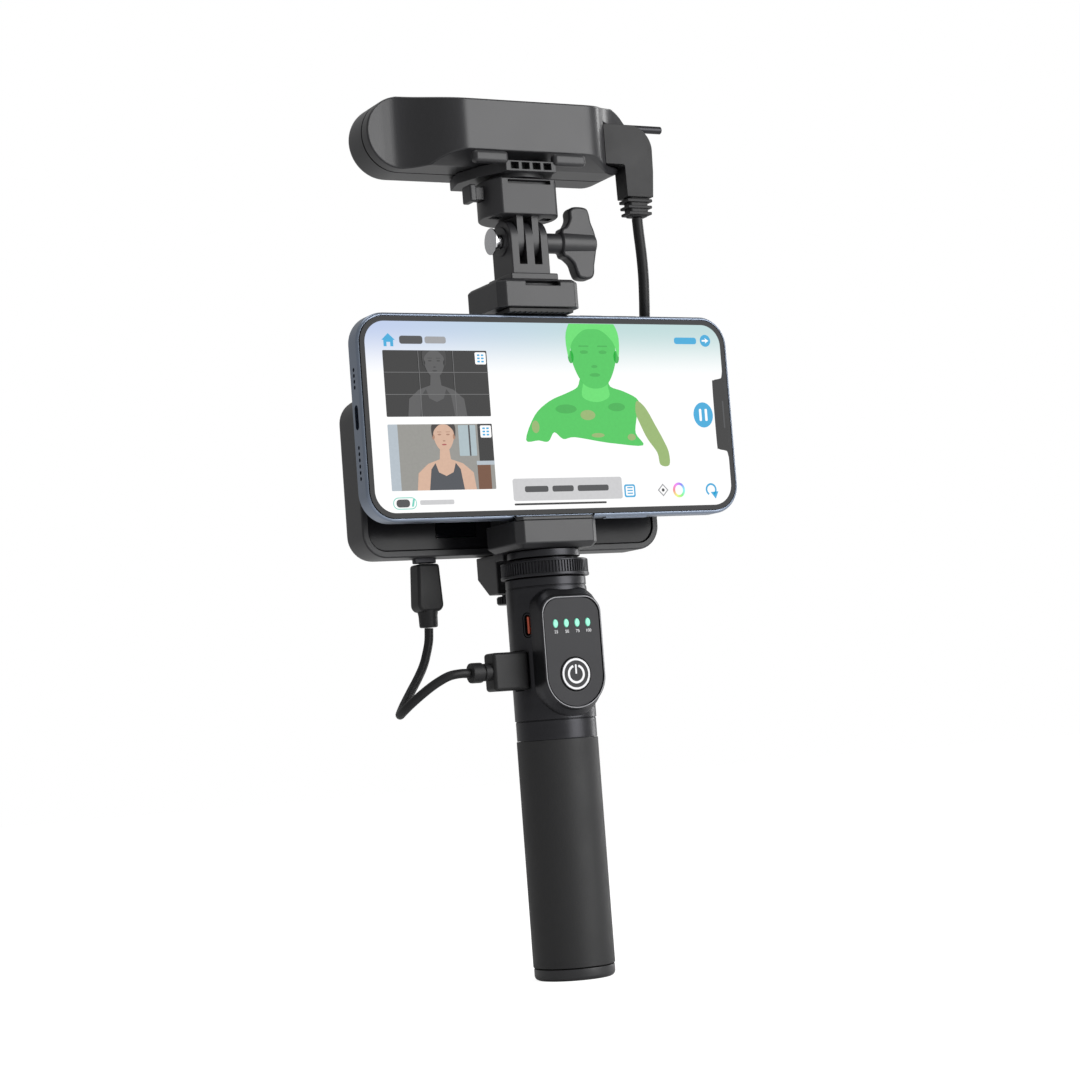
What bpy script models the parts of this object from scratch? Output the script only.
# A hand-held three-d scanner on a battery grip, with a telephone in a spring clamp as its screen.
# The frame: metres, +Z up the grip, +X to the right, and the telephone's screen faces -Y.
# The origin is the middle of the grip's flat underside.

import math

import bmesh
import bpy
from mathutils import Matrix, Vector

# Clearances and edges that many pieces share.
GAP = 0.0003
FINE_EDGE = 0.0004
SOFT_EDGE = 0.0010
OVERLAP = 0.0005
BIG_STEPS = 36
SMALL_STEPS = 20
CORNER_STEPS = 5
SMOOTH_ANGLE = math.radians(35)
BEVEL_ANGLE = math.radians(40)

# The grip. Every profile is (radius, height), and goes down its outer side.
GRIP_RADIUS = 0.0142
SLEEVE_BORE = 0.0132
TUBE_RADIUS = 0.0129
TUBE_BORE = 0.0116
BASE_CAP_TOP = 0.0040
SLEEVE_TOP = 0.0822
TUBE_TOP = 0.0920
HOUSING_LOW = 0.0825
HOUSING_TOP = 0.1382
BASE_CAP = (
    (0.0000, 0.0090), (0.0113, 0.0090), (0.0113, 0.0040), (0.0140, 0.0040),
    (0.0140, 0.0014), (0.0136, 0.0004), (0.0128, 0.0000), (0.0000, 0.0000),
)
BATTERY = (
    (0.0000, 0.0808), (0.0035, 0.0808), (0.0035, 0.0793), (0.0099, 0.0793),
    (0.0105, 0.0787), (0.0105, 0.0099), (0.0099, 0.0093), (0.0000, 0.0093),
)
HOUSING = (
    (0.0000, 0.1382), (0.0138, 0.1382), (0.0141, 0.1379), (0.0141, 0.1354),
    (0.0138, 0.1352), (0.0138, 0.1350), (0.0141, 0.1348), (0.0142, 0.1330),
    (0.0142, 0.0892), (0.0138, 0.0890), (0.0138, 0.0889), (0.0140, 0.0887),
    (0.0140, 0.0825), (0.0000, 0.0825),
)
HOUSING_CAVITY = (
    (0.0000, 0.1400), (0.0033, 0.1400), (0.0033, 0.1310), (0.0119, 0.1310),
    (0.0119, 0.0923), (0.0132, 0.0923), (0.0132, 0.0800), (0.0000, 0.0800),
)
NECK_STUD = (
    (0.0000, 0.1527), (0.0026, 0.1527), (0.0030, 0.1523), (0.0030, 0.1307),
    (0.0055, 0.1307), (0.0055, 0.1272), (0.0000, 0.1272),
)

# The control pod on the grip. Its outline is a rounded top over a half circle.
PANEL_HALF_WIDTH = 0.0107
PANEL_LOW = 0.0930
PANEL_HIGH = 0.1301
PANEL_CORNER = 0.0070
PANEL_FRONT = -0.0170
PANEL_BACK = -0.0162
PANEL_MIDDLE = (PANEL_LOW + PANEL_HIGH) / 2
PANEL_ARC_STEPS = 14
# The pod's rings run from its rim back into the grip: depth, then shares of the panel's width and height.
POD_RING_shares = (
    (-0.0172, 1.070, 1.042), (-0.0167, 1.095, 1.058), (-0.0156, 1.098, 1.085),
    (-0.0146, 1.099, 1.165), (-0.0130, 1.100, 1.215), (-0.0088, 1.100, 1.215),
)
PANEL_RECESS_WIDTH_share = 1.028
PANEL_RECESS_HEIGHT_share = 1.016
PANEL_RECESS_BACK = -0.0159
LAMP_X = (-0.0063, -0.0021, 0.0021, 0.0063)
LAMP_Z = 0.1216
LAMP_HALF_WIDTH = 0.00095
LAMP_HALF_HEIGHT = 0.00145
LAMP_FRONT = -0.0171
LAMP_ARC_STEPS = 12
LIGHT_BAR = ((-0.0083, -0.0159, 0.1196), (0.0083, -0.0149, 0.1236))
LIGHT_POCKET = ((-0.0086, -0.0165, 0.1193), (0.0086, -0.0146, 0.1239))
BUTTON_Z = 0.1040
BUTTON_BORE = 0.0060
BUTTON_BORE_SPAN = (-0.0180, -0.0105)
POWER_BUTTON = (
    (0.0000, -0.0095), (0.0018, -0.0095), (0.0018, -0.0152), (0.0057, -0.0152),
    (0.0057, -0.0171), (0.0053, -0.0175), (0.0000, -0.0175),
)
BOARD = ((-0.0058, -0.0074, 0.0930), (0.0090, -0.0062, 0.1290))
BOARD_SWITCH = ((-0.0016, -0.0086, 0.1024), (0.0016, -0.0070, 0.1056))

# The charging socket sits on the grip's left flank, square to the wall there.
PORT_BEARING = math.radians(211)
PORT_Z = 0.1220
PORT_HALF_WIDTH = 0.0016
PORT_HALF_HEIGHT = 0.0041
PORT_WALL = 0.0004
PORT_SPAN = (0.0080, 0.0140)
PORT_HOLE_SPAN = (0.0100, 0.0180)
PORT_FLOOR = 0.0090
TONGUE_FOOT_SPAN = (0.0093, 0.0104)
TONGUE = ((0.0100, -0.00035, 0.1191), (0.0136, 0.00035, 0.1249))

# The plug that feeds the bridge box stands in a pocket on the grip's left.
PLUG_A_POCKET = ((-0.0200, -0.0074, 0.0996), (-0.0123, 0.0014, 0.1136))
SOCKET_A_HOLE = ((-0.0160, -0.0056, 0.1004), (-0.0090, -0.0004, 0.1128))
SOCKET_A = ((-0.0099, -0.0059, 0.1001), (0.0020, -0.0001, 0.1131))
SOCKET_A_MOUTH = ((-0.0110, -0.0055, 0.10035), (0.0008, -0.0005, 0.11285))
PLUG_A_BODY = ((-0.0260, -0.0070, 0.1000), (-0.0126, 0.0010, 0.1132))
PLUG_A_TIP = ((-0.0123, -0.00525, 0.1006), (-0.0008, -0.00075, 0.1126))
PLUG_A_TIP_MOUTH = ((-0.0090, -0.0049, 0.1010), (-0.0001, -0.0011, 0.1122))
PLUG_A_AXIS = (-0.0030, 0.1068)
PLUG_A_RELIEF = (
    (0.0000, -0.0255), (0.00335, -0.0255), (0.00335, -0.0330), (0.0030, -0.0334), (0.0000, -0.0334),
)

# The knurled lock ring and the clamp's foot.
LOCK_RING = (
    (0.0033, 0.1450), (0.0110, 0.1450), (0.0110, 0.1444), (0.0150, 0.1444),
    (0.0153, 0.1441), (0.0153, 0.1437), (0.0147, 0.1436), (0.0147, 0.1397),
    (0.0155, 0.1396), (0.0155, 0.1388), (0.0152, 0.1385), (0.0033, 0.1385),
)
RING_TEETH = 56
TOOTH_TIP = 0.0153
TOOTH_ROOT = 0.0149
TOOTH_BORE = 0.0140
TOOTH_SPAN = (0.1394, 0.1438)
FOOT_DISC = (
    (0.0033, 0.1479), (0.01245, 0.1479), (0.01275, 0.1476), (0.01275, 0.1456),
    (0.01245, 0.1453), (0.0033, 0.1453),
)

# The spring clamp. A jaw's plan is (height, half width, front, back, corner cut).
LOWER_JAW = (
    (0.1482, 0.0142, -0.0113, 0.0096, 0.0022), (0.1502, 0.0160, -0.0130, 0.0113, 0.0025),
    (0.1579, 0.0160, -0.0130, 0.0113, 0.0025),
)
LOWER_LIP = (
    (0.1570, 0.0154, -0.0127, -0.0104, 0.0020), (0.1588, 0.0154, -0.0127, -0.0104, 0.0020),
    (0.1593, 0.0150, -0.0122, -0.0106, 0.0018),
)
UPPER_JAW = (
    (0.2324, 0.0160, -0.0130, 0.0124, 0.0025), (0.2412, 0.0160, -0.0130, 0.0124, 0.0025),
    (0.2425, 0.0149, -0.0119, 0.0109, 0.0022),
)
STUD_BORE = 0.0033
STUD_BORE_SPAN = (0.1450, 0.1530)
SPINE = ((-0.0110, 0.0038, 0.1505), (0.0110, 0.0113, 0.2240))
SPINE_POCKET = ((-0.0113, 0.0035, 0.1502), (0.0113, 0.0130, 0.1700))
LOWER_PAD = ((-0.0140, -0.0097, 0.1572), (0.0140, -0.0015, 0.15845))
LOWER_PAD_POCKET = ((-0.0143, -0.0100, 0.1569), (0.0143, -0.0012, 0.1590))
UPPER_PAD = ((-0.0127, -0.0124, 0.23055), (0.0127, -0.0015, 0.2321))
ROD_X = 0.0065
ROD_Y = 0.0075
ROD_RADIUS = 0.0015
ROD_SPAN = (0.1862, 0.2377)
SPINE_BORE_SPAN = (0.1840, 0.2260)
JAW_BORE_SPAN = (0.2310, 0.2380)
SPRING_RADIUS = 0.0023
SPRING_WIRE = 0.00035
SPRING_SPAN = (0.1847, 0.2317)
SPRING_BORE = 0.0032
SPRING_TURNS = 9
SPRING_STEPS = 10
SHOE_SLOT = ((-0.0056, -0.0140, 0.2402), (0.0078, -0.0090, 0.2418))

# The bridge box behind the telephone, and what carries it. The bracket's outline is (y, z).
BRACKET_HALF_WIDTH = 0.0100
BRACKET = (
    (0.0175, 0.1348), (0.0247, 0.1348), (0.0330, 0.1410), (0.0330, 0.1489),
    (0.0197, 0.1489), (0.0197, 0.1750), (0.0116, 0.1750), (0.0116, 0.1462), (0.0175, 0.1462),
)
BRACKET_RELIEF_RADIUS = 0.0131
BRACKET_RELIEF_SPAN = (0.1400, 0.1481)
BRIDGE_SCREW_Y = 0.0276
BRIDGE_SCREW = (
    (0.0000, 0.1560), (0.0026, 0.1560), (0.0030, 0.1555), (0.0030, 0.1345), (0.0050, 0.1345),
    (0.0050, 0.1318), (0.0046, 0.1315), (0.0000, 0.1315),
)
BRIDGE_SCREW_BORE_SPAN = (0.1300, 0.1580)
BRIDGE_HALF = (0.0595, 0.0289)
BRIDGE_MIDDLE_Z = 0.1781
BRIDGE_CORNER = 0.0090
# Rings of the shell from front to back: depth, then how far the outline shrinks.
BRIDGE_RINGS = (
    (0.0200, 0.0005), (0.0205, 0.0000), (0.0325, 0.0000), (0.0350, 0.0009), (0.0365, 0.0028), (0.0370, 0.0048),
)
BRIDGE_MOUTH_INSET = 0.0022
BRIDGE_MOUTH_SPAN = (0.0190, 0.0225)
BRIDGE_WALL = 0.0042
BRIDGE_CAVITY_SPAN = (0.0220, 0.0347)
BRIDGE_PANEL_INSET = 0.0025
BRIDGE_PANEL_SPAN = (0.0207, 0.0222)
BRIDGE_WINDOW = ((-0.0310, 0.0209, 0.1560), (-0.0155, 0.0220, 0.1608))
BRIDGE_BOARD = ((-0.0520, 0.0310, 0.1560), (0.0520, 0.0326, 0.2000))
BRIDGE_POST_X = 0.0420
BRIDGE_POST_Z = (0.1640, 0.1930)
BRIDGE_POST_RADIUS = 0.0025
BRIDGE_POST_SPAN = (0.0329, 0.0355)
LOWER_SOCKET = ((-0.0377, 0.0264, 0.1537), (-0.0279, 0.0307, 0.1617))
LOWER_SOCKET_MOUTH = ((-0.0373, 0.0269, 0.1480), (-0.0283, 0.0301, 0.1592))
SIDE_SOCKET = ((0.0465, 0.0264, 0.1732), (0.0550, 0.0307, 0.1828))
SIDE_SOCKET_MOUTH = ((0.0500, 0.0269, 0.1735), (0.0620, 0.0301, 0.1825))

# The three plugs of slim type and their reliefs.
PLUG_C_BODY = ((-0.0383, 0.0253, 0.1320), (-0.0273, 0.0317, 0.1472))
PLUG_C_AXIS = (-0.0328, 0.0285)
PLUG_C_TIP = ((-0.0370, 0.02725, 0.1475), (-0.0286, 0.02975, 0.1585))
PLUG_C_RELIEF = (
    (0.0000, 0.1330), (0.0046, 0.1322), (0.0037, 0.1296), (0.0035, 0.1290), (0.0035, 0.1252), (0.0031, 0.1248),
    (0.0000, 0.1248),
)
SIDE_PLUG_BODY = ((0.0598, 0.0245, 0.1720), (0.0718, 0.0325, 0.1840))
SIDE_PLUG_TIP = ((0.0505, 0.02725, 0.1738), (0.0605, 0.02975, 0.1822))
SIDE_PLUG_AXIS = (0.0660, 0.0285)
SIDE_PLUG_RELIEF = (
    (0.0000, 0.1900), (0.0029, 0.1900), (0.0032, 0.1896), (0.0035, 0.1835), (0.0000, 0.1835),
)
# The scanner's plug lies flat in its pocket with its leg pointing down; outline (x, z).
SCANNER_PLUG = (
    (0.0380, 0.2883), (0.0458, 0.2883), (0.0458, 0.2765), (0.0570, 0.2765), (0.0570, 0.2885),
    (0.0578, 0.2900), (0.0578, 0.2960), (0.0573, 0.2987), (0.0557, 0.3009), (0.0535, 0.3025),
    (0.0508, 0.3030), (0.0380, 0.3030),
)
SCANNER_PLUG_SPAN = (0.0003, 0.0080)
SCANNER_PLUG_CORE = ((0.0474, 0.0016, 0.2694), (0.0554, 0.0067, 0.2770))
SCANNER_PLUG_RIBS = (
    ((0.0462, 0.0008, 0.2747), (0.0566, 0.0075, 0.2759)), ((0.0464, 0.0009, 0.2724), (0.0564, 0.0074, 0.2735)),
    ((0.0466, 0.0010, 0.2701), (0.0562, 0.0073, 0.2712)),
)
SCANNER_PLUG_TIP = ((0.0315, 0.0039, 0.2915), (0.0386, 0.0065, 0.2998))

# The telephone.
PHONE_MIDDLE = (0.0032, 0.1945)
PHONE_HALF = (0.07335, 0.03575)
PHONE_CORNER = 0.0105
PHONE_RINGS = (
    (-0.0099, 0.0006), (-0.0093, 0.0000), (-0.0030, 0.0000), (-0.00235, 0.0006),
)
GLASS_INSET = 0.0011
GLASS_SPAN = (-0.0100, -0.0094)
GLASS_RECESS_SPAN = (-0.0110, -0.0091)
CAMERA_MIDDLE = (0.0598, 0.1780)
CAMERA_HALF = 0.0140
CAMERA_CORNER = 0.0060
CAMERA_SPAN = (-0.00205, -0.0009)
CAMERA_LENSES = ((0.0655, 0.1835), (0.0541, 0.1725))
CAMERA_LENS_RADIUS = 0.0058
CAMERA_LENS_SPAN = (-0.0012, 0.0006)
KEY_Y = (-0.0075, -0.0049)
KEY_TOP_SPAN = (0.2289, 0.2307)
KEY_BOTTOM_SPAN = (0.1583, 0.1601)
KEY_WELL_DEPTH = 0.0011
VOLUME_UP_X = (0.0318, 0.0412)
VOLUME_DOWN_X = (0.0178, 0.0272)
SIDE_KEY_X = (0.0220, 0.0390)

# The tilting joint on top of the clamp. Its axis runs along X.
TILT_AXIS_Z = 0.2579
FORK_BASE = ((-0.0090, -0.0090, 0.2428), (0.0096, 0.0090, 0.2453))
FORK_HALF_DEPTH = 0.0075
FORK_LOW = 0.2450
FORK_HALF_WIDTH = 0.0074
FORK_SLOT_X = (0.00145, 0.0045)
FORK_SLOT_LOW = 0.2486
FORK_SLOT_TOP = 0.2700
FORK_BOSS = ((0.0000, -0.0070), (0.0052, -0.0070), (0.0052, -0.0081), (0.0049, -0.0084), (0.0000, -0.0084))
ROUND_STEPS = 14
BOLT_BORE = 0.0024
BOLT_BORE_SPAN = (-0.0140, 0.0090)
HINGE_BOLT = (
    (0.0000, 0.0200), (0.00215, 0.0200), (0.00215, -0.0105), (0.0047, -0.0105), (0.0047, -0.0113),
    (0.0043, -0.0117), (0.0000, -0.0117),
)
# The wing knob's outline is (x, height over the axis).
KNOB_WING = (
    (0.0156, -0.0040), (0.0174, -0.0058), (0.0193, -0.0082), (0.0202, -0.0112), (0.0215, -0.0127),
    (0.0240, -0.0131), (0.0264, -0.0128), (0.0278, -0.0112), (0.0284, -0.0085), (0.0294, -0.0045),
    (0.0300, 0.0000), (0.0297, 0.0042), (0.0278, 0.0078), (0.0264, 0.0112), (0.0252, 0.0128),
    (0.0228, 0.0132), (0.0206, 0.0129), (0.0194, 0.0113), (0.0189, 0.0085), (0.0175, 0.0060), (0.0156, 0.0042),
)
KNOB_HALF_THICKNESS = 0.0029
KNOB_HUB = (
    (0.0000, 0.0296), (0.0034, 0.0296), (0.0042, 0.0288), (0.0044, 0.0160), (0.0038, 0.0153), (0.0036, 0.0150),
    (0.0036, 0.0080), (0.0033, 0.0077), (0.0000, 0.0077),
)
KNOB_BORE_SPAN = (0.0060, 0.0204)

# The quick-release head and the cradle under the scanner.
HEAD_RADIUS = 0.0142
HEAD_FLAT_Y = -0.0095
HEAD_SPAN = (0.2660, 0.2790)
HEAD_STEPS = 30
HEAD_FINGER_X = (0.00172, 0.00422)
HEAD_FINGER_RADIUS = 0.0069
HEAD_SLOT = ((-0.0080, -0.0110, 0.2768), (0.0090, -0.0070, 0.2783))
HEAD_UNDER_SLOTS = (
    ((-0.0120, -0.0040, 0.2650), (-0.0080, 0.0000, 0.2672)), ((0.0080, -0.0040, 0.2650), (0.0120, 0.0000, 0.2672)),
)
TAB_POCKET = ((-0.0160, -0.0026, 0.2720), (-0.0060, 0.0026, 0.2771))
TAB_STEM = ((-0.0178, -0.0023, 0.2723), (-0.0090, 0.0023, 0.2768))
TAB_HEAD = ((-0.0198, -0.0034, 0.2715), (-0.0173, 0.0034, 0.2776))
CRADLE_NECK_RADIUS = 0.0100
CRADLE_NECK_SPAN = (0.2793, 0.2810)
CRADLE_PLATE = (
    (-0.0099, -0.0128), (0.0099, -0.0128), (0.0104, -0.0090), (0.0130, -0.0030), (0.0145, 0.0080),
    (0.0145, 0.0200), (-0.0160, 0.0200), (-0.0185, 0.0090), (-0.0150, -0.0020), (-0.0104, -0.0090),
)
CRADLE_PLATE_SPAN = (0.2805, 0.2843)
CRADLE_WINDOW_X = (-0.00645, -0.00215, 0.00215, 0.00645)
CRADLE_WINDOW_HALF = 0.0016
CRADLE_WINDOW_Y = (-0.0140, -0.0100)
CRADLE_WINDOW_Z = (0.2812, 0.2837)
CRADLE_WINGS = (
    ((-0.0224, -0.0140, 0.2829), (-0.0090, -0.0102, 0.2872)), ((0.0088, -0.0140, 0.2829), (0.0218, -0.0102, 0.2872)),
)
CRADLE_WING_EDGE = 0.0013

# The scanner: a long body with round ends. Its back is an S-curve in plan, (x, y).
SCANNER_HALF_LENGTH = 0.0525
SCANNER_HALF_HEIGHT = 0.0130
SCANNER_MIDDLE_Z = 0.2976
SCANNER_ARC_STEPS = 12
SCANNER_BACK_Y = -0.0092
SCANNER_SPLIT_Y = 0.0130
SCANNER_BACK = (
    (-0.0600, 0.0080), (-0.0460, 0.0078), (-0.0410, 0.0069), (-0.0360, 0.0050), (-0.0315, 0.0020),
    (-0.0275, -0.0020), (-0.0240, -0.0058), (-0.0208, -0.0081), (-0.0170, -0.0090), (0.0200, -0.0090),
    (0.0240, -0.0079), (0.0275, -0.0050), (0.0310, -0.0013), (0.0345, 0.0013), (0.0385, 0.0026), (0.0440, 0.0044),
    (0.0600, 0.0085),
)
SCANNER_BACK_CUT_Y = -0.0200
SCANNER_BACK_CUT_Z = (0.2800, 0.3150)
SCANNER_WEDGE = ((-0.0120, 0.2830), (0.0020, 0.2830), (0.0020, 0.2840), (-0.0120, 0.2898))
SCANNER_WEDGE_X = (-0.0600, 0.0600)
SCANNER_WALL = 0.0020
REAR_CAVITY_SPAN = (0.0102, 0.0140)
REAR_DEEP_CAVITY = ((-0.0150, -0.0065, 0.2895), (0.0180, 0.0120, 0.3075))
FRONT_CAVITY_SPAN = (0.0120, 0.0243)
FRONT_RINGS = (
    (0.0133, 0.0000), (0.0238, 0.0000), (0.0258, 0.0007), (0.0270, 0.0022), (0.0275, 0.0042),
)
LENS_RECESS_HALF = (0.0400, 0.0063)
LENS_RECESS_SPAN = (0.0265, 0.0290)
LENS_RECESS_CORNER = 0.0060
LENS_WINDOW_SPAN = (0.0268, 0.0273)
CAMERA_X = 0.0320
PROJECTOR_X = 0.0060
LENS_HOLE_RADIUS = 0.0053
LENS_HOLE_SPAN = (0.0225, 0.0275)
LENS_BARREL = (
    (0.0000, 0.0245), (0.0030, 0.0255), (0.0036, 0.0262), (0.0047, 0.0262), (0.0050, 0.0259), (0.0050, 0.0200),
    (0.0060, 0.0200), (0.0060, 0.0155), (0.0000, 0.0155),
)
SCANNER_BOARD_INSET = 0.0024
SCANNER_BOARD_SPAN = (0.0136, 0.0152)
PLUG_POCKET = ((0.0377, -0.0120, 0.2879), (0.0620, 0.0083, 0.3034))
PLUG_LEG_POCKET = ((0.0455, -0.0120, 0.2700), (0.0620, 0.0083, 0.2890))
SCANNER_PORT_POCKET = ((0.0299, 0.0027, 0.2905), (0.0385, 0.0077, 0.3008))
SCANNER_PORT = ((0.0302, 0.0030, 0.2908), (0.0375, 0.0074, 0.3005))
SCANNER_PORT_MOUTH = ((0.0310, 0.0035, 0.2912), (0.0390, 0.0069, 0.3001))
PIN_PLACE = (0.0105, 0.3045)
PIN_RADIUS = 0.0014
PIN_SPAN = (0.0490, 0.0683)
PIN_BORE_SPAN = (0.0450, 0.0560)

# The cords, point by point along their middle.
LINK_CORD_RADIUS = 0.0016
LINK_CORD = (
    (-0.0337, -0.0030, 0.1068), (-0.0370, -0.0031, 0.1069), (-0.0408, -0.0026, 0.1064),
    (-0.0440, -0.0012, 0.1049), (-0.0471, 0.0006, 0.1028), (-0.0500, 0.0028, 0.1003),
    (-0.0524, 0.0054, 0.0978), (-0.0536, 0.0088, 0.0957), (-0.0533, 0.0128, 0.0945),
    (-0.0512, 0.0170, 0.0953), (-0.0481, 0.0203, 0.0981), (-0.0440, 0.0230, 0.1025),
    (-0.0400, 0.0250, 0.1071), (-0.0367, 0.0267, 0.1116), (-0.0345, 0.0279, 0.1162),
    (-0.0332, 0.0285, 0.1201), (-0.0328, 0.0285, 0.1245),
)
SCANNER_CORD_RADIUS = 0.0020
SCANNER_CORD = (
    (0.0514, 0.0041, 0.2691), (0.0516, 0.0041, 0.2640), (0.0521, 0.0042, 0.2560), (0.0525, 0.0047, 0.2480),
    (0.0529, 0.0060, 0.2400), (0.0538, 0.0085, 0.2320), (0.0556, 0.0123, 0.2243), (0.0582, 0.0168, 0.2170),
    (0.0612, 0.0213, 0.2100), (0.0640, 0.0254, 0.2032), (0.0656, 0.0278, 0.1968), (0.0660, 0.0285, 0.1903),
)
CORD_STEPS_BETWEEN = 3

# Names that the three axes go by.
ALONG_X = Matrix(((0, 0, 1, 0), (1, 0, 0, 0), (0, 1, 0, 0), (0, 0, 0, 1)))
ALONG_Y = Matrix(((1, 0, 0, 0), (0, 0, -1, 0), (0, 1, 0, 0), (0, 0, 0, 1)))
ALONG_Z = Matrix.Identity(4)
ORIGIN = (0, 0, 0)


# Start from an empty scene with one collection of parts and one of cutters.
for old in list(bpy.data.objects):
    bpy.data.objects.remove(old, do_unlink=True)
PARTS = bpy.data.collections.new("three_d_scanner")
CUTTERS = bpy.data.collections.new("cutters")
for collection in (PARTS, CUTTERS):
    bpy.context.scene.collection.children.link(collection)
CUTTERS.hide_render = True


def finish(name, colour, roughness, metallic=0.0):
    """One plain material, as (red, green, blue), roughness and metal."""
    made = bpy.data.materials.new(name)
    made.use_nodes = True
    shader = made.node_tree.nodes["Principled BSDF"]
    shader.inputs["Base Color"].default_value = (*colour, 1)
    shader.inputs["Roughness"].default_value = roughness
    shader.inputs["Metallic"].default_value = metallic
    return made


BLACK_PLASTIC = finish("black_moulded_plastic", (0.022, 0.022, 0.024), 0.42)
DARK_PLASTIC = finish("dark_satin_plastic", (0.035, 0.036, 0.038), 0.36)
PANEL_GREY = finish("grey_panel_plastic", (0.080, 0.080, 0.083), 0.40)
BLACK_RUBBER = finish("black_rubber", (0.020, 0.020, 0.021), 0.62)
BLACK_METAL = finish("black_painted_metal", (0.028, 0.028, 0.030), 0.30, 0.5)
PHONE_BLUE = finish("blue_black_aluminium", (0.055, 0.080, 0.110), 0.28, 0.9)
SCREEN_GLASS = finish("screen_glass", (0.020, 0.022, 0.026), 0.06)
BRIGHT_STEEL = finish("bright_steel", (0.72, 0.72, 0.73), 0.22, 1.0)
LAMP_GREEN = finish("green_light_guide", (0.22, 0.80, 0.55), 0.25)
TONGUE_RED = finish("red_plastic", (0.62, 0.13, 0.07), 0.40)
BOARD_GREEN = finish("green_circuit_board", (0.02, 0.16, 0.07), 0.45)
CELL_BLUE = finish("battery_wrap", (0.06, 0.16, 0.34), 0.40)
LENS_GLASS = finish("lens_glass", (0.012, 0.013, 0.018), 0.05)


def placed(name, mesh, skin, pivot=ORIGIN):
    """A mesh given in the shared frame becomes an object whose origin is at its pivot. No skin makes it a cutter."""
    mesh.transform(Matrix.Translation(-Vector(pivot)))
    obj = bpy.data.objects.new(name, mesh)
    obj.location = pivot
    if skin is None:
        CUTTERS.objects.link(obj)
        obj.hide_render = True
        obj.display_type = "WIRE"
    else:
        PARTS.objects.link(obj)
        mesh.materials.clear()
        mesh.materials.append(skin)
    return obj


def mesh_from(name, made):
    """The finished mesh of a bmesh, with its normals out and its round sides smooth."""
    bmesh.ops.recalc_face_normals(made, faces=made.faces)
    mesh = bpy.data.meshes.new(name)
    made.to_mesh(mesh)
    made.free()
    mesh.shade_smooth()
    mesh.set_sharp_from_angle(angle=SMOOTH_ANGLE)
    return mesh


def block(name, corners, skin=None, edge=0.0, pivot=ORIGIN, spin=0.0):
    """A box between two corners, with its edges rounded by edge."""
    low = Vector(corners[0])
    high = Vector(corners[1])
    made = bmesh.new()
    bmesh.ops.create_cube(made, size=1, matrix=Matrix.Translation((low + high) / 2) @ Matrix.Diagonal((*(high - low), 1)))
    bmesh.ops.rotate(made, verts=made.verts, matrix=Matrix.Rotation(spin, 3, "Z"))
    obj = placed(name, mesh_from(name, made), skin, pivot)
    if edge:
        soften(obj, edge)
    return obj


def soften(obj, width, segments=2):
    bevel = obj.modifiers.new("soft edges", "BEVEL")
    bevel.width = width
    bevel.segments = segments
    bevel.angle_limit = BEVEL_ANGLE
    return obj


def turned(name, profile, skin=None, along=ALONG_Z, centre=ORIGIN, steps=BIG_STEPS):
    """A profile of (radius, distance along the axis) spun round. It closes on the axis or on itself."""
    made = bmesh.new()
    points = [made.verts.new((radius, 0, distance)) for radius, distance in profile]
    for first, second in zip(points, points[1:]):
        made.edges.new((first, second))
    if profile[0][0] > 0:
        made.edges.new((points[-1], points[0]))
    mesh = bpy.data.meshes.new(name)
    made.to_mesh(mesh)
    made.free()
    obj = placed(name, mesh, skin)
    obj.matrix_world = Matrix.Translation(centre) @ along
    screw = obj.modifiers.new("turned", "SCREW")
    screw.steps = steps
    screw.render_steps = steps
    screw.use_merge_vertices = True
    screw.merge_threshold = OVERLAP / BIG_STEPS
    return obj


def rod(name, radius, span, skin=None, along=ALONG_Z, centre=ORIGIN, steps=SMALL_STEPS):
    low, high = span
    return turned(name, ((0, high), (radius, high), (radius, low), (0, low)), skin, along, centre, steps)


def prism(name, outline, span, skin=None, along=ALONG_Z, holes=(), spin=0.0, pivot=ORIGIN):
    """A flat outline, filled and given thickness, as an extruded profile is drawn."""
    curve = bpy.data.curves.new(name, "CURVE")
    curve.dimensions = "2D"
    curve.fill_mode = "BOTH"
    curve.extrude = (span[1] - span[0]) / 2
    for points in (outline, *holes):
        spline = curve.splines.new("POLY")
        spline.points.add(len(points) - 1)
        spline.use_cyclic_u = True
        for point, (across, up) in zip(spline.points, points):
            point.co = (across, up, 0, 1)
    drawn = bpy.data.objects.new(name, curve)
    bpy.context.scene.collection.objects.link(drawn)
    seen = drawn.evaluated_get(bpy.context.evaluated_depsgraph_get())
    made = bmesh.new()
    made.from_mesh(bpy.data.meshes.new_from_object(seen))
    bpy.data.objects.remove(drawn)
    bmesh.ops.remove_doubles(made, verts=made.verts, dist=OVERLAP / BIG_STEPS)
    bmesh.ops.dissolve_degenerate(made, edges=made.edges, dist=OVERLAP / BIG_STEPS)
    middle = along @ Vector((0, 0, (span[0] + span[1]) / 2))
    if along is ALONG_Y:
        middle = -middle
    bmesh.ops.transform(made, verts=made.verts, matrix=Matrix.Translation(middle) @ along)
    bmesh.ops.rotate(made, verts=made.verts, matrix=Matrix.Rotation(spin, 3, "Z"))
    return placed(name, mesh_from(name, made), skin, pivot)


def loft(name, rings, skin=None):
    """A skin stretched over rings of points, with the same count in each, and closed at both ends."""
    made = bmesh.new()
    rows = [[made.verts.new(point) for point in ring] for ring in rings]
    for row, following in zip(rows, rows[1:]):
        for place in range(len(row)):
            before = place - 1
            made.faces.new((row[before], row[place], following[place], following[before]))
    made.faces.new(rows[0])
    made.faces.new(rows[-1])
    return placed(name, mesh_from(name, made), skin)


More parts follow.
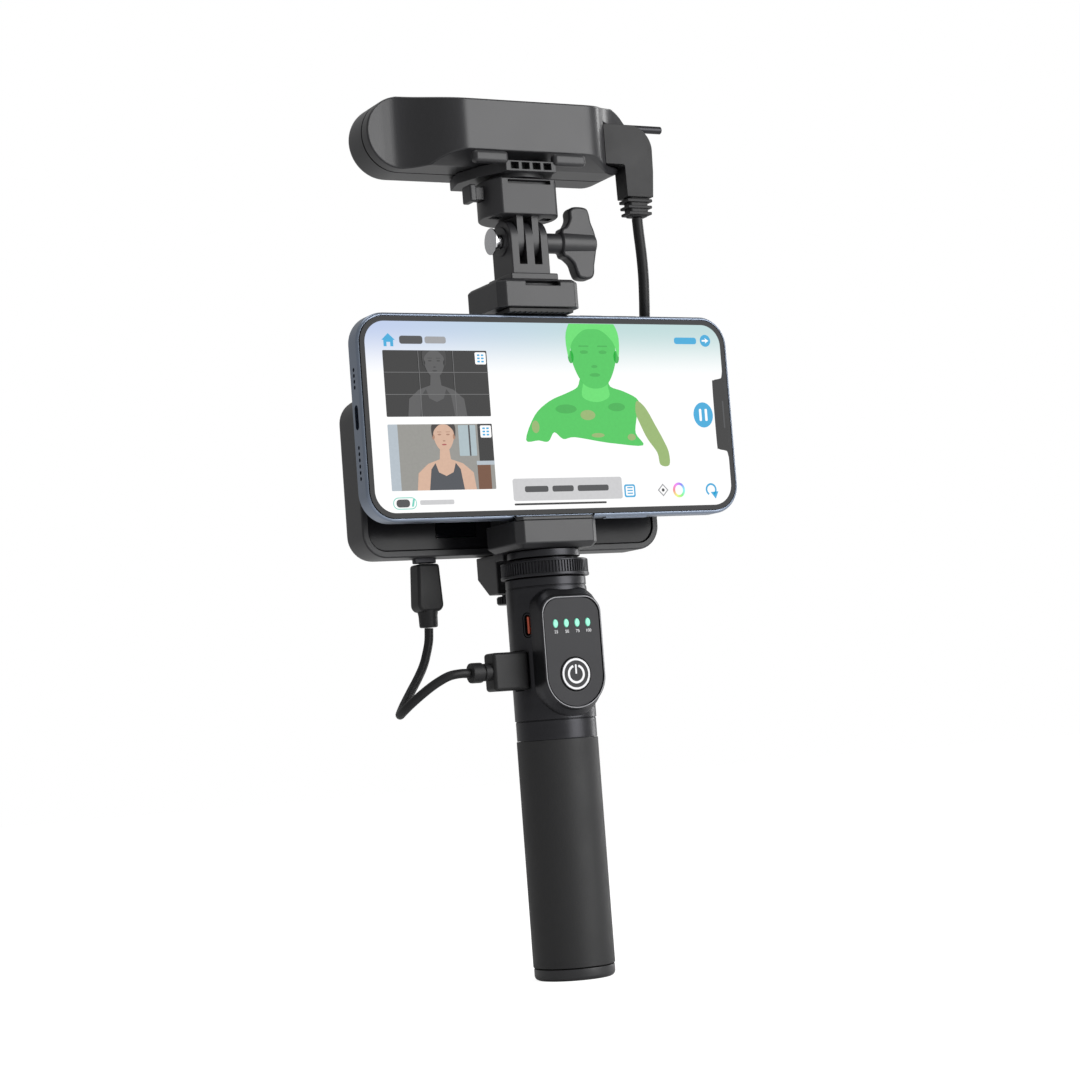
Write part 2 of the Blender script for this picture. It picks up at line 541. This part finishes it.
def arc(centre, radius, start, end, steps):
    """Points of a circle from one angle to another, in degrees."""
    return [
        (
            centre[0] + radius * math.cos(math.radians(start + (end - start) * step / steps)),
            centre[1] + radius * math.sin(math.radians(start + (end - start) * step / steps)),
        )
        for step in range(steps + 1)
    ]


def rounded(half, corner, centre=(0, 0), steps=CORNER_STEPS):
    """A rectangle with round corners."""
    across = half[0] - corner
    up = half[1] - corner
    outline = []
    for side, height, start in ((1, 1, 0), (-1, 1, 90), (-1, -1, 180), (1, -1, 270)):
        outline += arc((centre[0] + side * across, centre[1] + height * up), corner, start, start + 90, steps)
    return outline


def stadium(inset):
    """The scanner's outline in (x, z), shrunk by inset."""
    radius = SCANNER_HALF_HEIGHT - inset
    reach = SCANNER_HALF_LENGTH - SCANNER_HALF_HEIGHT
    right = arc((reach, SCANNER_MIDDLE_Z), radius, -90, 90, SCANNER_ARC_STEPS)
    return right + arc((-reach, SCANNER_MIDDLE_Z), radius, 90, 270, SCANNER_ARC_STEPS)


def panel_outline(across_share=1.0, up_share=1.0):
    """The control panel's outline in (x, z), stretched about its middle."""
    low_centre = PANEL_LOW + PANEL_HALF_WIDTH
    high_centre = PANEL_HIGH - PANEL_CORNER
    inner = PANEL_HALF_WIDTH - PANEL_CORNER
    points = arc((0, low_centre), PANEL_HALF_WIDTH, 180, 360, PANEL_ARC_STEPS)
    points += arc((inner, high_centre), PANEL_CORNER, 0, 90, CORNER_STEPS)
    points += arc((-inner, high_centre), PANEL_CORNER, 90, 180, CORNER_STEPS)
    return [(across * across_share, PANEL_MIDDLE + (up - PANEL_MIDDLE) * up_share) for across, up in points]


def lamp_outline(x, grow=0.0):
    circle = arc((0, 0), 1, 0, 360, LAMP_ARC_STEPS)[:-1]
    return [(x + (LAMP_HALF_WIDTH + grow) * across, LAMP_Z + (LAMP_HALF_HEIGHT + grow) * up) for across, up in circle]


def slim_outline(grow):
    """The charging socket's outline in (y, z)."""
    half = (PORT_HALF_WIDTH + grow, PORT_HALF_HEIGHT + grow)
    return rounded(half, PORT_HALF_WIDTH + grow, (0, PORT_Z), CORNER_STEPS)


def jaw_rings(table):
    """A jaw's plan at each height: square at the back, with its two front corners cut."""
    rings = []
    for height, half, front, back, cut in table:
        plan = ((-half, back), (-half, front + cut), (-half + cut, front), (half - cut, front), (half, front + cut), (half, back))
        rings.append([(x, y, height) for x, y in plan])
    return rings


def rings_in_depth(table, outline):
    """Rings of one outline at several depths, each shrunk as the table says."""
    return [[(x, depth, z) for x, z in outline(shrink)] for depth, shrink in table]


def boolean(obj, other, operation):
    modifier = obj.modifiers.new(f"{operation.lower()} {other.name}", "BOOLEAN")
    modifier.operation = operation
    modifier.solver = "EXACT"
    modifier.object = other
    return obj


def cut(obj, *others):
    for other in others:
        boolean(obj, other, "DIFFERENCE")
    return obj


def join(obj, *others):
    for other in others:
        boolean(obj, other, "UNION")
    return obj


def path_of(points, between=CORD_STEPS_BETWEEN):
    """A smooth run through the points, passing through each of them."""
    points = [Vector(point) for point in points]
    ends = [points[0] * 2 - points[1], *points, points[-1] * 2 - points[-2]]
    run = []
    for before, first, second, after in zip(ends, ends[1:], ends[2:], ends[3:]):
        for step in range(between):
            t = step / between
            run.append(
                (
                    first * 2
                    + (second - before) * t
                    + (before * 2 - first * 5 + second * 4 - after) * t**2
                    + (first * 3 - before - second * 3 + after) * t**3
                )
                / 2
            )
    return run + [points[-1]]


def wire(name, points, radius, skin, resolution=2):
    """A round wire along a run of points."""
    curve = bpy.data.curves.new(name, "CURVE")
    curve.dimensions = "3D"
    curve.bevel_depth = radius
    curve.bevel_resolution = resolution
    curve.use_fill_caps = True
    spline = curve.splines.new("POLY")
    spline.points.add(len(points) - 1)
    for point, place in zip(spline.points, points):
        point.co = (*place, 1)
    curve.materials.append(skin)
    obj = bpy.data.objects.new(name, curve)
    PARTS.objects.link(obj)
    return obj


# Base cap: a turned plug that closes the grip tube and gives it its flat foot.
turned("base_cap", BASE_CAP, BLACK_PLASTIC)

# Grip tube, rubber sleeve and the cell inside them.
turned(
    "grip_tube",
    (
        (TUBE_BORE, TUBE_TOP), (TUBE_RADIUS, TUBE_TOP),
        (TUBE_RADIUS, BASE_CAP_TOP + GAP), (TUBE_BORE, BASE_CAP_TOP + GAP),
    ),
    BLACK_METAL,
)
turned(
    "rubber_sleeve",
    (
        (SLEEVE_BORE, SLEEVE_TOP), (GRIP_RADIUS, SLEEVE_TOP),
        (GRIP_RADIUS, BASE_CAP_TOP + GAP), (SLEEVE_BORE, BASE_CAP_TOP + GAP),
    ),
    BLACK_RUBBER,
)
turned("battery_cell", BATTERY, CELL_BLUE)

# Grip housing: the turned neck of the grip, with the control pod growing out of its front.
housing = turned("handle_housing", HOUSING, BLACK_METAL)
pod = loft(
    "pod",
    [
        [(x, depth, z) for x, z in panel_outline(across, up)]
        for depth, across, up in POD_RING_shares
    ],
)
join(housing, pod)
cut(
    housing,
    turned("housing_cavity", HOUSING_CAVITY),
    prism(
        "panel_recess", panel_outline(PANEL_RECESS_WIDTH_share, PANEL_RECESS_HEIGHT_share),
        (BUTTON_BORE_SPAN[0], PANEL_RECESS_BACK), along=ALONG_Y,
    ),
    block("light_pocket", LIGHT_POCKET),
    rod("button_bore", BUTTON_BORE, (-BUTTON_BORE_SPAN[1], -BUTTON_BORE_SPAN[0]), along=ALONG_Y, centre=(0, 0, BUTTON_Z)),
    prism("port_hole", slim_outline(GAP), PORT_HOLE_SPAN, along=ALONG_X, spin=PORT_BEARING),
    block("plug_a_pocket", PLUG_A_POCKET),
    block("socket_a_hole", SOCKET_A_HOLE),
)

# Control panel: a flat plate let into the pod, with holes for the lamps and the button.
panel_holes = [lamp_outline(x, GAP)[::-1] for x in LAMP_X]
panel_holes.append(arc((0, BUTTON_Z), BUTTON_BORE, 360, 0, SMALL_STEPS)[:-1])
prism("control_panel", panel_outline(), (PANEL_FRONT, PANEL_BACK), PANEL_GREY, along=ALONG_Y, holes=panel_holes)

# Light guide: one clear bar with four studs that show through the panel.
light_guide = block("led_light_guide", LIGHT_BAR, LAMP_GREEN)
for place, x in enumerate(LAMP_X):
    join(
        light_guide,
        prism(f"lamp_stud_{place}", lamp_outline(x), (LAMP_FRONT, LIGHT_BAR[1][1] - OVERLAP), along=ALONG_Y),
    )

# Power button: a round cap on a stem that reaches the switch on the board.
button_profile = [(radius, -depth) for radius, depth in reversed(POWER_BUTTON)]
turned("power_button", button_profile, PANEL_GREY, along=ALONG_Y, centre=(0, 0, BUTTON_Z), steps=SMALL_STEPS)
join(block("circuit_board", BOARD, BOARD_GREEN), block("board_switch", BOARD_SWITCH))

# Charging socket: a drawn shell round a plastic tongue.
cut(
    prism("charge_port", slim_outline(0), PORT_SPAN, BRIGHT_STEEL, along=ALONG_X, spin=PORT_BEARING),
    prism(
        "charge_port_mouth", slim_outline(-PORT_WALL), (PORT_FLOOR, PORT_HOLE_SPAN[1]),
        along=ALONG_X, spin=PORT_BEARING,
    ),
)
join(
    prism(
        "charge_port_tongue", slim_outline(-PORT_WALL - GAP), TONGUE_FOOT_SPAN, TONGUE_RED,
        along=ALONG_X, spin=PORT_BEARING,
    ),
    block("tongue_blade", TONGUE, spin=PORT_BEARING),
)

# The socket and plug that feed the bridge box.
cut(block("usb_a_socket", SOCKET_A, BRIGHT_STEEL), block("socket_a_mouth", SOCKET_A_MOUTH))
link_plug_a = block("link_plug_a", PLUG_A_BODY, BLACK_PLASTIC, SOFT_EDGE)
join(
    link_plug_a,
    turned(
        "plug_a_relief", PLUG_A_RELIEF, along=ALONG_X,
        centre=(0, PLUG_A_AXIS[0], PLUG_A_AXIS[1]), steps=SMALL_STEPS,
    ),
)
cut(block("link_plug_a_tip", PLUG_A_TIP, BRIGHT_STEEL), block("plug_a_tip_mouth", PLUG_A_TIP_MOUTH))
turned("neck_stud", NECK_STUD, BRIGHT_STEEL, steps=SMALL_STEPS)

# Lock ring: a turned ring with a band of teeth.
tooth_points = []
for tooth in range(RING_TEETH):
    for radius, share in ((TOOTH_ROOT, 0.0), (TOOTH_TIP, 0.5)):
        angle = 2 * math.pi * (tooth + share) / RING_TEETH
        tooth_points.append((radius * math.cos(angle), radius * math.sin(angle)))
lock_ring = turned("lock_ring", LOCK_RING, BLACK_METAL)
tooth_hole = arc((0, 0), TOOTH_BORE, 360, 0, BIG_STEPS)[:-1]
join(lock_ring, prism("tooth_band", tooth_points, TOOTH_SPAN, holes=[tooth_hole]))
turned("foot_disc", FOOT_DISC, BLACK_METAL)

# Lower jaw: a lofted block with a lip in front, a pad let into its top and a bore for the stud.
lower_jaw = loft("lower_jaw", jaw_rings(LOWER_JAW), BLACK_PLASTIC)
join(lower_jaw, loft("lower_lip", jaw_rings(LOWER_LIP)))
cut(
    lower_jaw,
    rod("stud_bore", STUD_BORE, STUD_BORE_SPAN),
    block("spine_pocket", SPINE_POCKET),
    block("lower_pad_pocket", LOWER_PAD_POCKET),
)
block("lower_jaw_pad", LOWER_PAD, BLACK_RUBBER)

# Spine: the bar behind the telephone, bored for the two guide rods and the spring.
spine = block("clamp_spine", SPINE, DARK_PLASTIC, SOFT_EDGE)
upper_jaw = loft("upper_jaw", jaw_rings(UPPER_JAW), BLACK_PLASTIC)
for side, x in (("left", -ROD_X), ("right", ROD_X)):
    place = (x, ROD_Y, 0)
    cut(spine, rod(f"spine_bore_{side}", ROD_RADIUS + GAP, SPINE_BORE_SPAN, centre=place))
    cut(upper_jaw, rod(f"jaw_bore_{side}", ROD_RADIUS + GAP, JAW_BORE_SPAN, centre=place))
    rod(f"guide_rod_{side}", ROD_RADIUS, ROD_SPAN, BRIGHT_STEEL, centre=place)
cut(spine, rod("spring_bore", SPRING_BORE, SPINE_BORE_SPAN, centre=(0, ROD_Y, 0)))
cut(upper_jaw, block("shoe_slot", SHOE_SLOT))
block("upper_jaw_pad", UPPER_PAD, BLACK_RUBBER)
spring_points = []
for step in range(SPRING_TURNS * SPRING_STEPS + 1):
    angle = 2 * math.pi * step / SPRING_STEPS
    share = step / (SPRING_TURNS * SPRING_STEPS)
    height = SPRING_SPAN[0] + (SPRING_SPAN[1] - SPRING_SPAN[0]) * share
    spring_points.append((SPRING_RADIUS * math.cos(angle), ROD_Y + SPRING_RADIUS * math.sin(angle), height))
wire("jaw_spring", spring_points, SPRING_WIRE, BRIGHT_STEEL, resolution=1)

# Bracket: a bent plate that hangs the bridge box behind the clamp.
cut(
    prism("bridge_bracket", BRACKET, (-BRACKET_HALF_WIDTH, BRACKET_HALF_WIDTH), BLACK_PLASTIC, along=ALONG_X),
    rod("bracket_relief", BRACKET_RELIEF_RADIUS, BRACKET_RELIEF_SPAN, steps=BIG_STEPS),
    rod("bracket_bore", STUD_BORE, BRIDGE_SCREW_BORE_SPAN, centre=(0, BRIDGE_SCREW_Y, 0)),
)
turned("bridge_screw", BRIDGE_SCREW, BLACK_METAL, centre=(0, BRIDGE_SCREW_Y, 0), steps=SMALL_STEPS)


def bridge_outline(inset):
    half = (BRIDGE_HALF[0] - inset, BRIDGE_HALF[1] - inset)
    return rounded(half, BRIDGE_CORNER - inset, (0, BRIDGE_MIDDLE_Z))


# Bridge box: a rear shell with a stepped mouth, and a front panel that drops into the step.
bridge = loft("bridge_rear_shell", rings_in_depth(BRIDGE_RINGS, bridge_outline), BLACK_PLASTIC)
cut(
    bridge,
    prism("bridge_mouth", bridge_outline(BRIDGE_MOUTH_INSET), BRIDGE_MOUTH_SPAN, along=ALONG_Y),
    prism("bridge_cavity", bridge_outline(BRIDGE_WALL), BRIDGE_CAVITY_SPAN, along=ALONG_Y),
    rod("bridge_screw_bore", STUD_BORE, BRIDGE_SCREW_BORE_SPAN, centre=(0, BRIDGE_SCREW_Y, 0)),
    block("lower_tip_hole", LOWER_SOCKET_MOUTH),
    block("side_tip_hole", SIDE_SOCKET_MOUTH),
)
for row, z in enumerate(BRIDGE_POST_Z):
    for side, x in enumerate((-BRIDGE_POST_X, BRIDGE_POST_X)):
        span = (-BRIDGE_POST_SPAN[1], -BRIDGE_POST_SPAN[0])
        join(bridge, rod(f"post_{row}_{side}", BRIDGE_POST_RADIUS, span, along=ALONG_Y, centre=(x, 0, z), steps=10))
window_low = Vector(BRIDGE_WINDOW[0])
window_high = Vector(BRIDGE_WINDOW[1])
window_room = Vector((GAP, SOFT_EDGE, GAP))
cut(
    prism("bridge_front_panel", bridge_outline(BRIDGE_PANEL_INSET), BRIDGE_PANEL_SPAN, DARK_PLASTIC, along=ALONG_Y),
    block("window_hole", (window_low - window_room, window_high + window_room)),
)
block("bridge_window", BRIDGE_WINDOW, LENS_GLASS)
block("bridge_board", BRIDGE_BOARD, BOARD_GREEN)
cut(block("bridge_lower_socket", LOWER_SOCKET, BRIGHT_STEEL), block("lower_socket_mouth", LOWER_SOCKET_MOUTH))
cut(block("bridge_side_socket", SIDE_SOCKET, BRIGHT_STEEL), block("side_socket_mouth", SIDE_SOCKET_MOUTH))

# The plugs on the box.
join(
    block("link_plug_c", PLUG_C_BODY, BLACK_PLASTIC, SOFT_EDGE),
    turned("plug_c_relief", PLUG_C_RELIEF, centre=(*PLUG_C_AXIS, 0), steps=SMALL_STEPS),
)
block("link_plug_c_tip", PLUG_C_TIP, BRIGHT_STEEL, FINE_EDGE)
join(
    block("side_plug", SIDE_PLUG_BODY, BLACK_PLASTIC, SOFT_EDGE),
    turned("side_plug_relief", SIDE_PLUG_RELIEF, centre=(*SIDE_PLUG_AXIS, 0), steps=SMALL_STEPS),
    block("side_plug_tip", SIDE_PLUG_TIP),
)


def phone_outline(inset):
    half = (PHONE_HALF[0] - inset, PHONE_HALF[1] - inset)
    return rounded(half, PHONE_CORNER - inset, PHONE_MIDDLE, CORNER_STEPS + 2)


# Telephone: a metal body with the glass let into its face, a camera block behind and three keys.
phone = loft("phone_body", rings_in_depth(PHONE_RINGS, phone_outline), PHONE_BLUE)
cut(phone, prism("glass_recess", phone_outline(GLASS_INSET - GAP), GLASS_RECESS_SPAN, along=ALONG_Y))
prism("phone_glass", phone_outline(GLASS_INSET), GLASS_SPAN, SCREEN_GLASS, along=ALONG_Y)
camera_outline = rounded((CAMERA_HALF, CAMERA_HALF), CAMERA_CORNER, CAMERA_MIDDLE)
camera_block = prism("phone_camera_block", camera_outline, CAMERA_SPAN, LENS_GLASS, along=ALONG_Y)
for place, (x, z) in enumerate(CAMERA_LENSES):
    span = (-CAMERA_LENS_SPAN[1], -CAMERA_LENS_SPAN[0])
    join(camera_block, rod(f"camera_ring_{place}", CAMERA_LENS_RADIUS, span, along=ALONG_Y, centre=(x, 0, z)))
for name, across, heights in (
    ("volume_up_key", VOLUME_UP_X, KEY_TOP_SPAN),
    ("volume_down_key", VOLUME_DOWN_X, KEY_TOP_SPAN),
    ("side_key", SIDE_KEY_X, KEY_BOTTOM_SPAN),
):
    low = Vector((across[0], KEY_Y[0], heights[0]))
    high = Vector((across[1], KEY_Y[1], heights[1]))
    room = Vector((GAP, GAP, KEY_WELL_DEPTH))
    block(name, (low, high), PHONE_BLUE, FINE_EDGE, pivot=(low + high) / 2)
    cut(phone, block(f"{name}_well", (low - room, high + room)))


def tongue_profile(radius, far):
    """An upright finger in (y, z): round about the tilt axis at one end and square at the other."""
    ends = (0, 180) if far < TILT_AXIS_Z else (180, 360)
    curve = arc((0, TILT_AXIS_Z), radius, *ends, ROUND_STEPS)
    return curve + [(curve[-1][0], far), (curve[0][0], far)]


# Fork: three fingers on a foot that stands on the upper jaw.
fork = prism(
    "fork_mount", tongue_profile(FORK_HALF_DEPTH, FORK_LOW), (-FORK_HALF_WIDTH, FORK_HALF_WIDTH),
    BLACK_PLASTIC, along=ALONG_X,
)
tilt_centre = (0, 0, TILT_AXIS_Z)
join(
    fork,
    block("fork_foot", FORK_BASE),
    turned("fork_boss", FORK_BOSS, along=ALONG_X, centre=tilt_centre, steps=SMALL_STEPS),
)
for side, sign in (("left", -1), ("right", 1)):
    near, away = sorted((sign * FORK_SLOT_X[0], sign * FORK_SLOT_X[1]))
    low = (near, -FORK_HALF_DEPTH - SOFT_EDGE, FORK_SLOT_LOW)
    high = (away, FORK_HALF_DEPTH + SOFT_EDGE, FORK_SLOT_TOP)
    cut(fork, block(f"fork_slot_{side}", (low, high)))
cut(fork, rod("fork_bore", BOLT_BORE, BOLT_BORE_SPAN, along=ALONG_X, centre=tilt_centre))
turned("hinge_bolt", HINGE_BOLT, BRIGHT_STEEL, along=ALONG_X, centre=tilt_centre, steps=SMALL_STEPS)

# Wing knob: a flat wing through a turned hub, bored for the bolt.
knob = turned("wing_knob", KNOB_HUB, BLACK_PLASTIC, along=ALONG_X, centre=tilt_centre, steps=SMALL_STEPS)
wing_outline = [(x, TILT_AXIS_Z + up) for x, up in KNOB_WING]
wing = prism("knob_wing", wing_outline, (-KNOB_HALF_THICKNESS, KNOB_HALF_THICKNESS), along=ALONG_Y)
join(knob, soften(wing, SOFT_EDGE))
cut(knob, rod("knob_bore", BOLT_BORE, KNOB_BORE_SPAN, along=ALONG_X, centre=tilt_centre))

# Quick-release head: a drum cut flat in front, standing on two fingers that enter the fork.
flat_angle = math.degrees(math.asin(-HEAD_FLAT_Y / HEAD_RADIUS))
head = prism(
    "head_base", arc((0, 0), HEAD_RADIUS, -flat_angle, 180 + flat_angle, HEAD_STEPS), HEAD_SPAN, BLACK_PLASTIC,
    pivot=tilt_centre,
)
for side, sign in (("left", -1), ("right", 1)):
    span = sorted((sign * HEAD_FINGER_X[0], sign * HEAD_FINGER_X[1]))
    finger = tongue_profile(HEAD_FINGER_RADIUS, HEAD_SPAN[0] + SOFT_EDGE)
    join(head, prism(f"head_finger_{side}", finger, span, along=ALONG_X))
cut(
    head,
    rod("head_bore", BOLT_BORE, BOLT_BORE_SPAN, along=ALONG_X, centre=tilt_centre),
    block("head_slot", HEAD_SLOT),
    block("tab_pocket", TAB_POCKET),
    block("under_slot_left", HEAD_UNDER_SLOTS[0]),
    block("under_slot_right", HEAD_UNDER_SLOTS[1]),
)
join(block("release_tab", TAB_STEM, BLACK_PLASTIC), block("tab_head", TAB_HEAD, edge=FINE_EDGE))

# Cradle: a plate with four windows in its front edge and two hooked wings.
cradle = prism("cradle", CRADLE_PLATE, CRADLE_PLATE_SPAN, BLACK_PLASTIC)
join(cradle, rod("cradle_neck", CRADLE_NECK_RADIUS, CRADLE_NECK_SPAN, steps=BIG_STEPS))
for side, corners in zip(("left", "right"), CRADLE_WINGS):
    join(cradle, block(f"cradle_wing_{side}", corners, edge=CRADLE_WING_EDGE))
for place, x in enumerate(CRADLE_WINDOW_X):
    low = (x - CRADLE_WINDOW_HALF, CRADLE_WINDOW_Y[0], CRADLE_WINDOW_Z[0])
    high = (x + CRADLE_WINDOW_HALF, CRADLE_WINDOW_Y[1], CRADLE_WINDOW_Z[1])
    cut(cradle, block(f"cradle_window_{place}", (low, high)))

# Scanner rear shell: the long body cut to an S-curve in plan, and hollow behind it.
rear = prism(
    "scanner_rear_shell", stadium(0), (SCANNER_BACK_Y, SCANNER_SPLIT_Y), DARK_PLASTIC, along=ALONG_Y,
)
back_plan = [(SCANNER_BACK[0][0], SCANNER_BACK_CUT_Y), (SCANNER_BACK[-1][0], SCANNER_BACK_CUT_Y), *reversed(SCANNER_BACK)]
cut(
    rear,
    prism("back_curve", back_plan, SCANNER_BACK_CUT_Z),
    prism("back_wedge", SCANNER_WEDGE, SCANNER_WEDGE_X, along=ALONG_X),
    prism("rear_cavity", stadium(SCANNER_WALL), REAR_CAVITY_SPAN, along=ALONG_Y),
    block("rear_deep_cavity", REAR_DEEP_CAVITY),
    block("plug_pocket", PLUG_POCKET),
    block("plug_leg_pocket", PLUG_LEG_POCKET),
    block("scanner_port_pocket", SCANNER_PORT_POCKET),
    rod("pin_bore", PIN_RADIUS + GAP, PIN_BORE_SPAN, along=ALONG_X, centre=(0, *PIN_PLACE)),
)

# Scanner front cover: a rounded tray with a sunk window strip and three lens holes.
cover = loft("scanner_front_cover", rings_in_depth(FRONT_RINGS, stadium), DARK_PLASTIC)
window_centre = (0, SCANNER_MIDDLE_Z)
glass_half = (LENS_RECESS_HALF[0] - GAP, LENS_RECESS_HALF[1] - GAP)
cut(
    cover,
    prism("front_cavity", stadium(SCANNER_WALL), FRONT_CAVITY_SPAN, along=ALONG_Y),
    prism("lens_recess", rounded(LENS_RECESS_HALF, LENS_RECESS_CORNER, window_centre), LENS_RECESS_SPAN, along=ALONG_Y),
)
prism(
    "front_window", rounded(glass_half, LENS_RECESS_CORNER - GAP, window_centre), LENS_WINDOW_SPAN, LENS_GLASS,
    along=ALONG_Y,
)
barrel = [(radius, -depth) for radius, depth in reversed(LENS_BARREL)]
for name, x in (("left_camera", -CAMERA_X), ("projector", PROJECTOR_X), ("right_camera", CAMERA_X)):
    span = (-LENS_HOLE_SPAN[1], -LENS_HOLE_SPAN[0])
    centre = (x, 0, SCANNER_MIDDLE_Z)
    cut(cover, rod(f"{name}_hole", LENS_HOLE_RADIUS, span, along=ALONG_Y, centre=centre, steps=BIG_STEPS))
    turned(name, barrel, LENS_GLASS, along=ALONG_Y, centre=centre, steps=SMALL_STEPS)
prism("scanner_board", stadium(SCANNER_BOARD_INSET), SCANNER_BOARD_SPAN, BOARD_GREEN, along=ALONG_Y)

# The scanner's socket, its plug and the pin beside them.
cut(block("scanner_port", SCANNER_PORT, BRIGHT_STEEL), block("scanner_port_mouth", SCANNER_PORT_MOUTH))
scanner_plug = prism("scanner_plug", SCANNER_PLUG, SCANNER_PLUG_SPAN, BLACK_PLASTIC, along=ALONG_Y)
join(soften(scanner_plug, FINE_EDGE), block("plug_core", SCANNER_PLUG_CORE))
for place, corners in enumerate(SCANNER_PLUG_RIBS):
    join(scanner_plug, block(f"plug_rib_{place}", corners))
join(scanner_plug, block("scanner_plug_tip", SCANNER_PLUG_TIP))
rod("strap_pin", PIN_RADIUS, PIN_SPAN, BLACK_METAL, along=ALONG_X, centre=(0, *PIN_PLACE))

# The two cords.
wire("link_cord", path_of(LINK_CORD), LINK_CORD_RADIUS, BLACK_RUBBER)
wire("scanner_cord", path_of(SCANNER_CORD), SCANNER_CORD_RADIUS, BLACK_RUBBER)
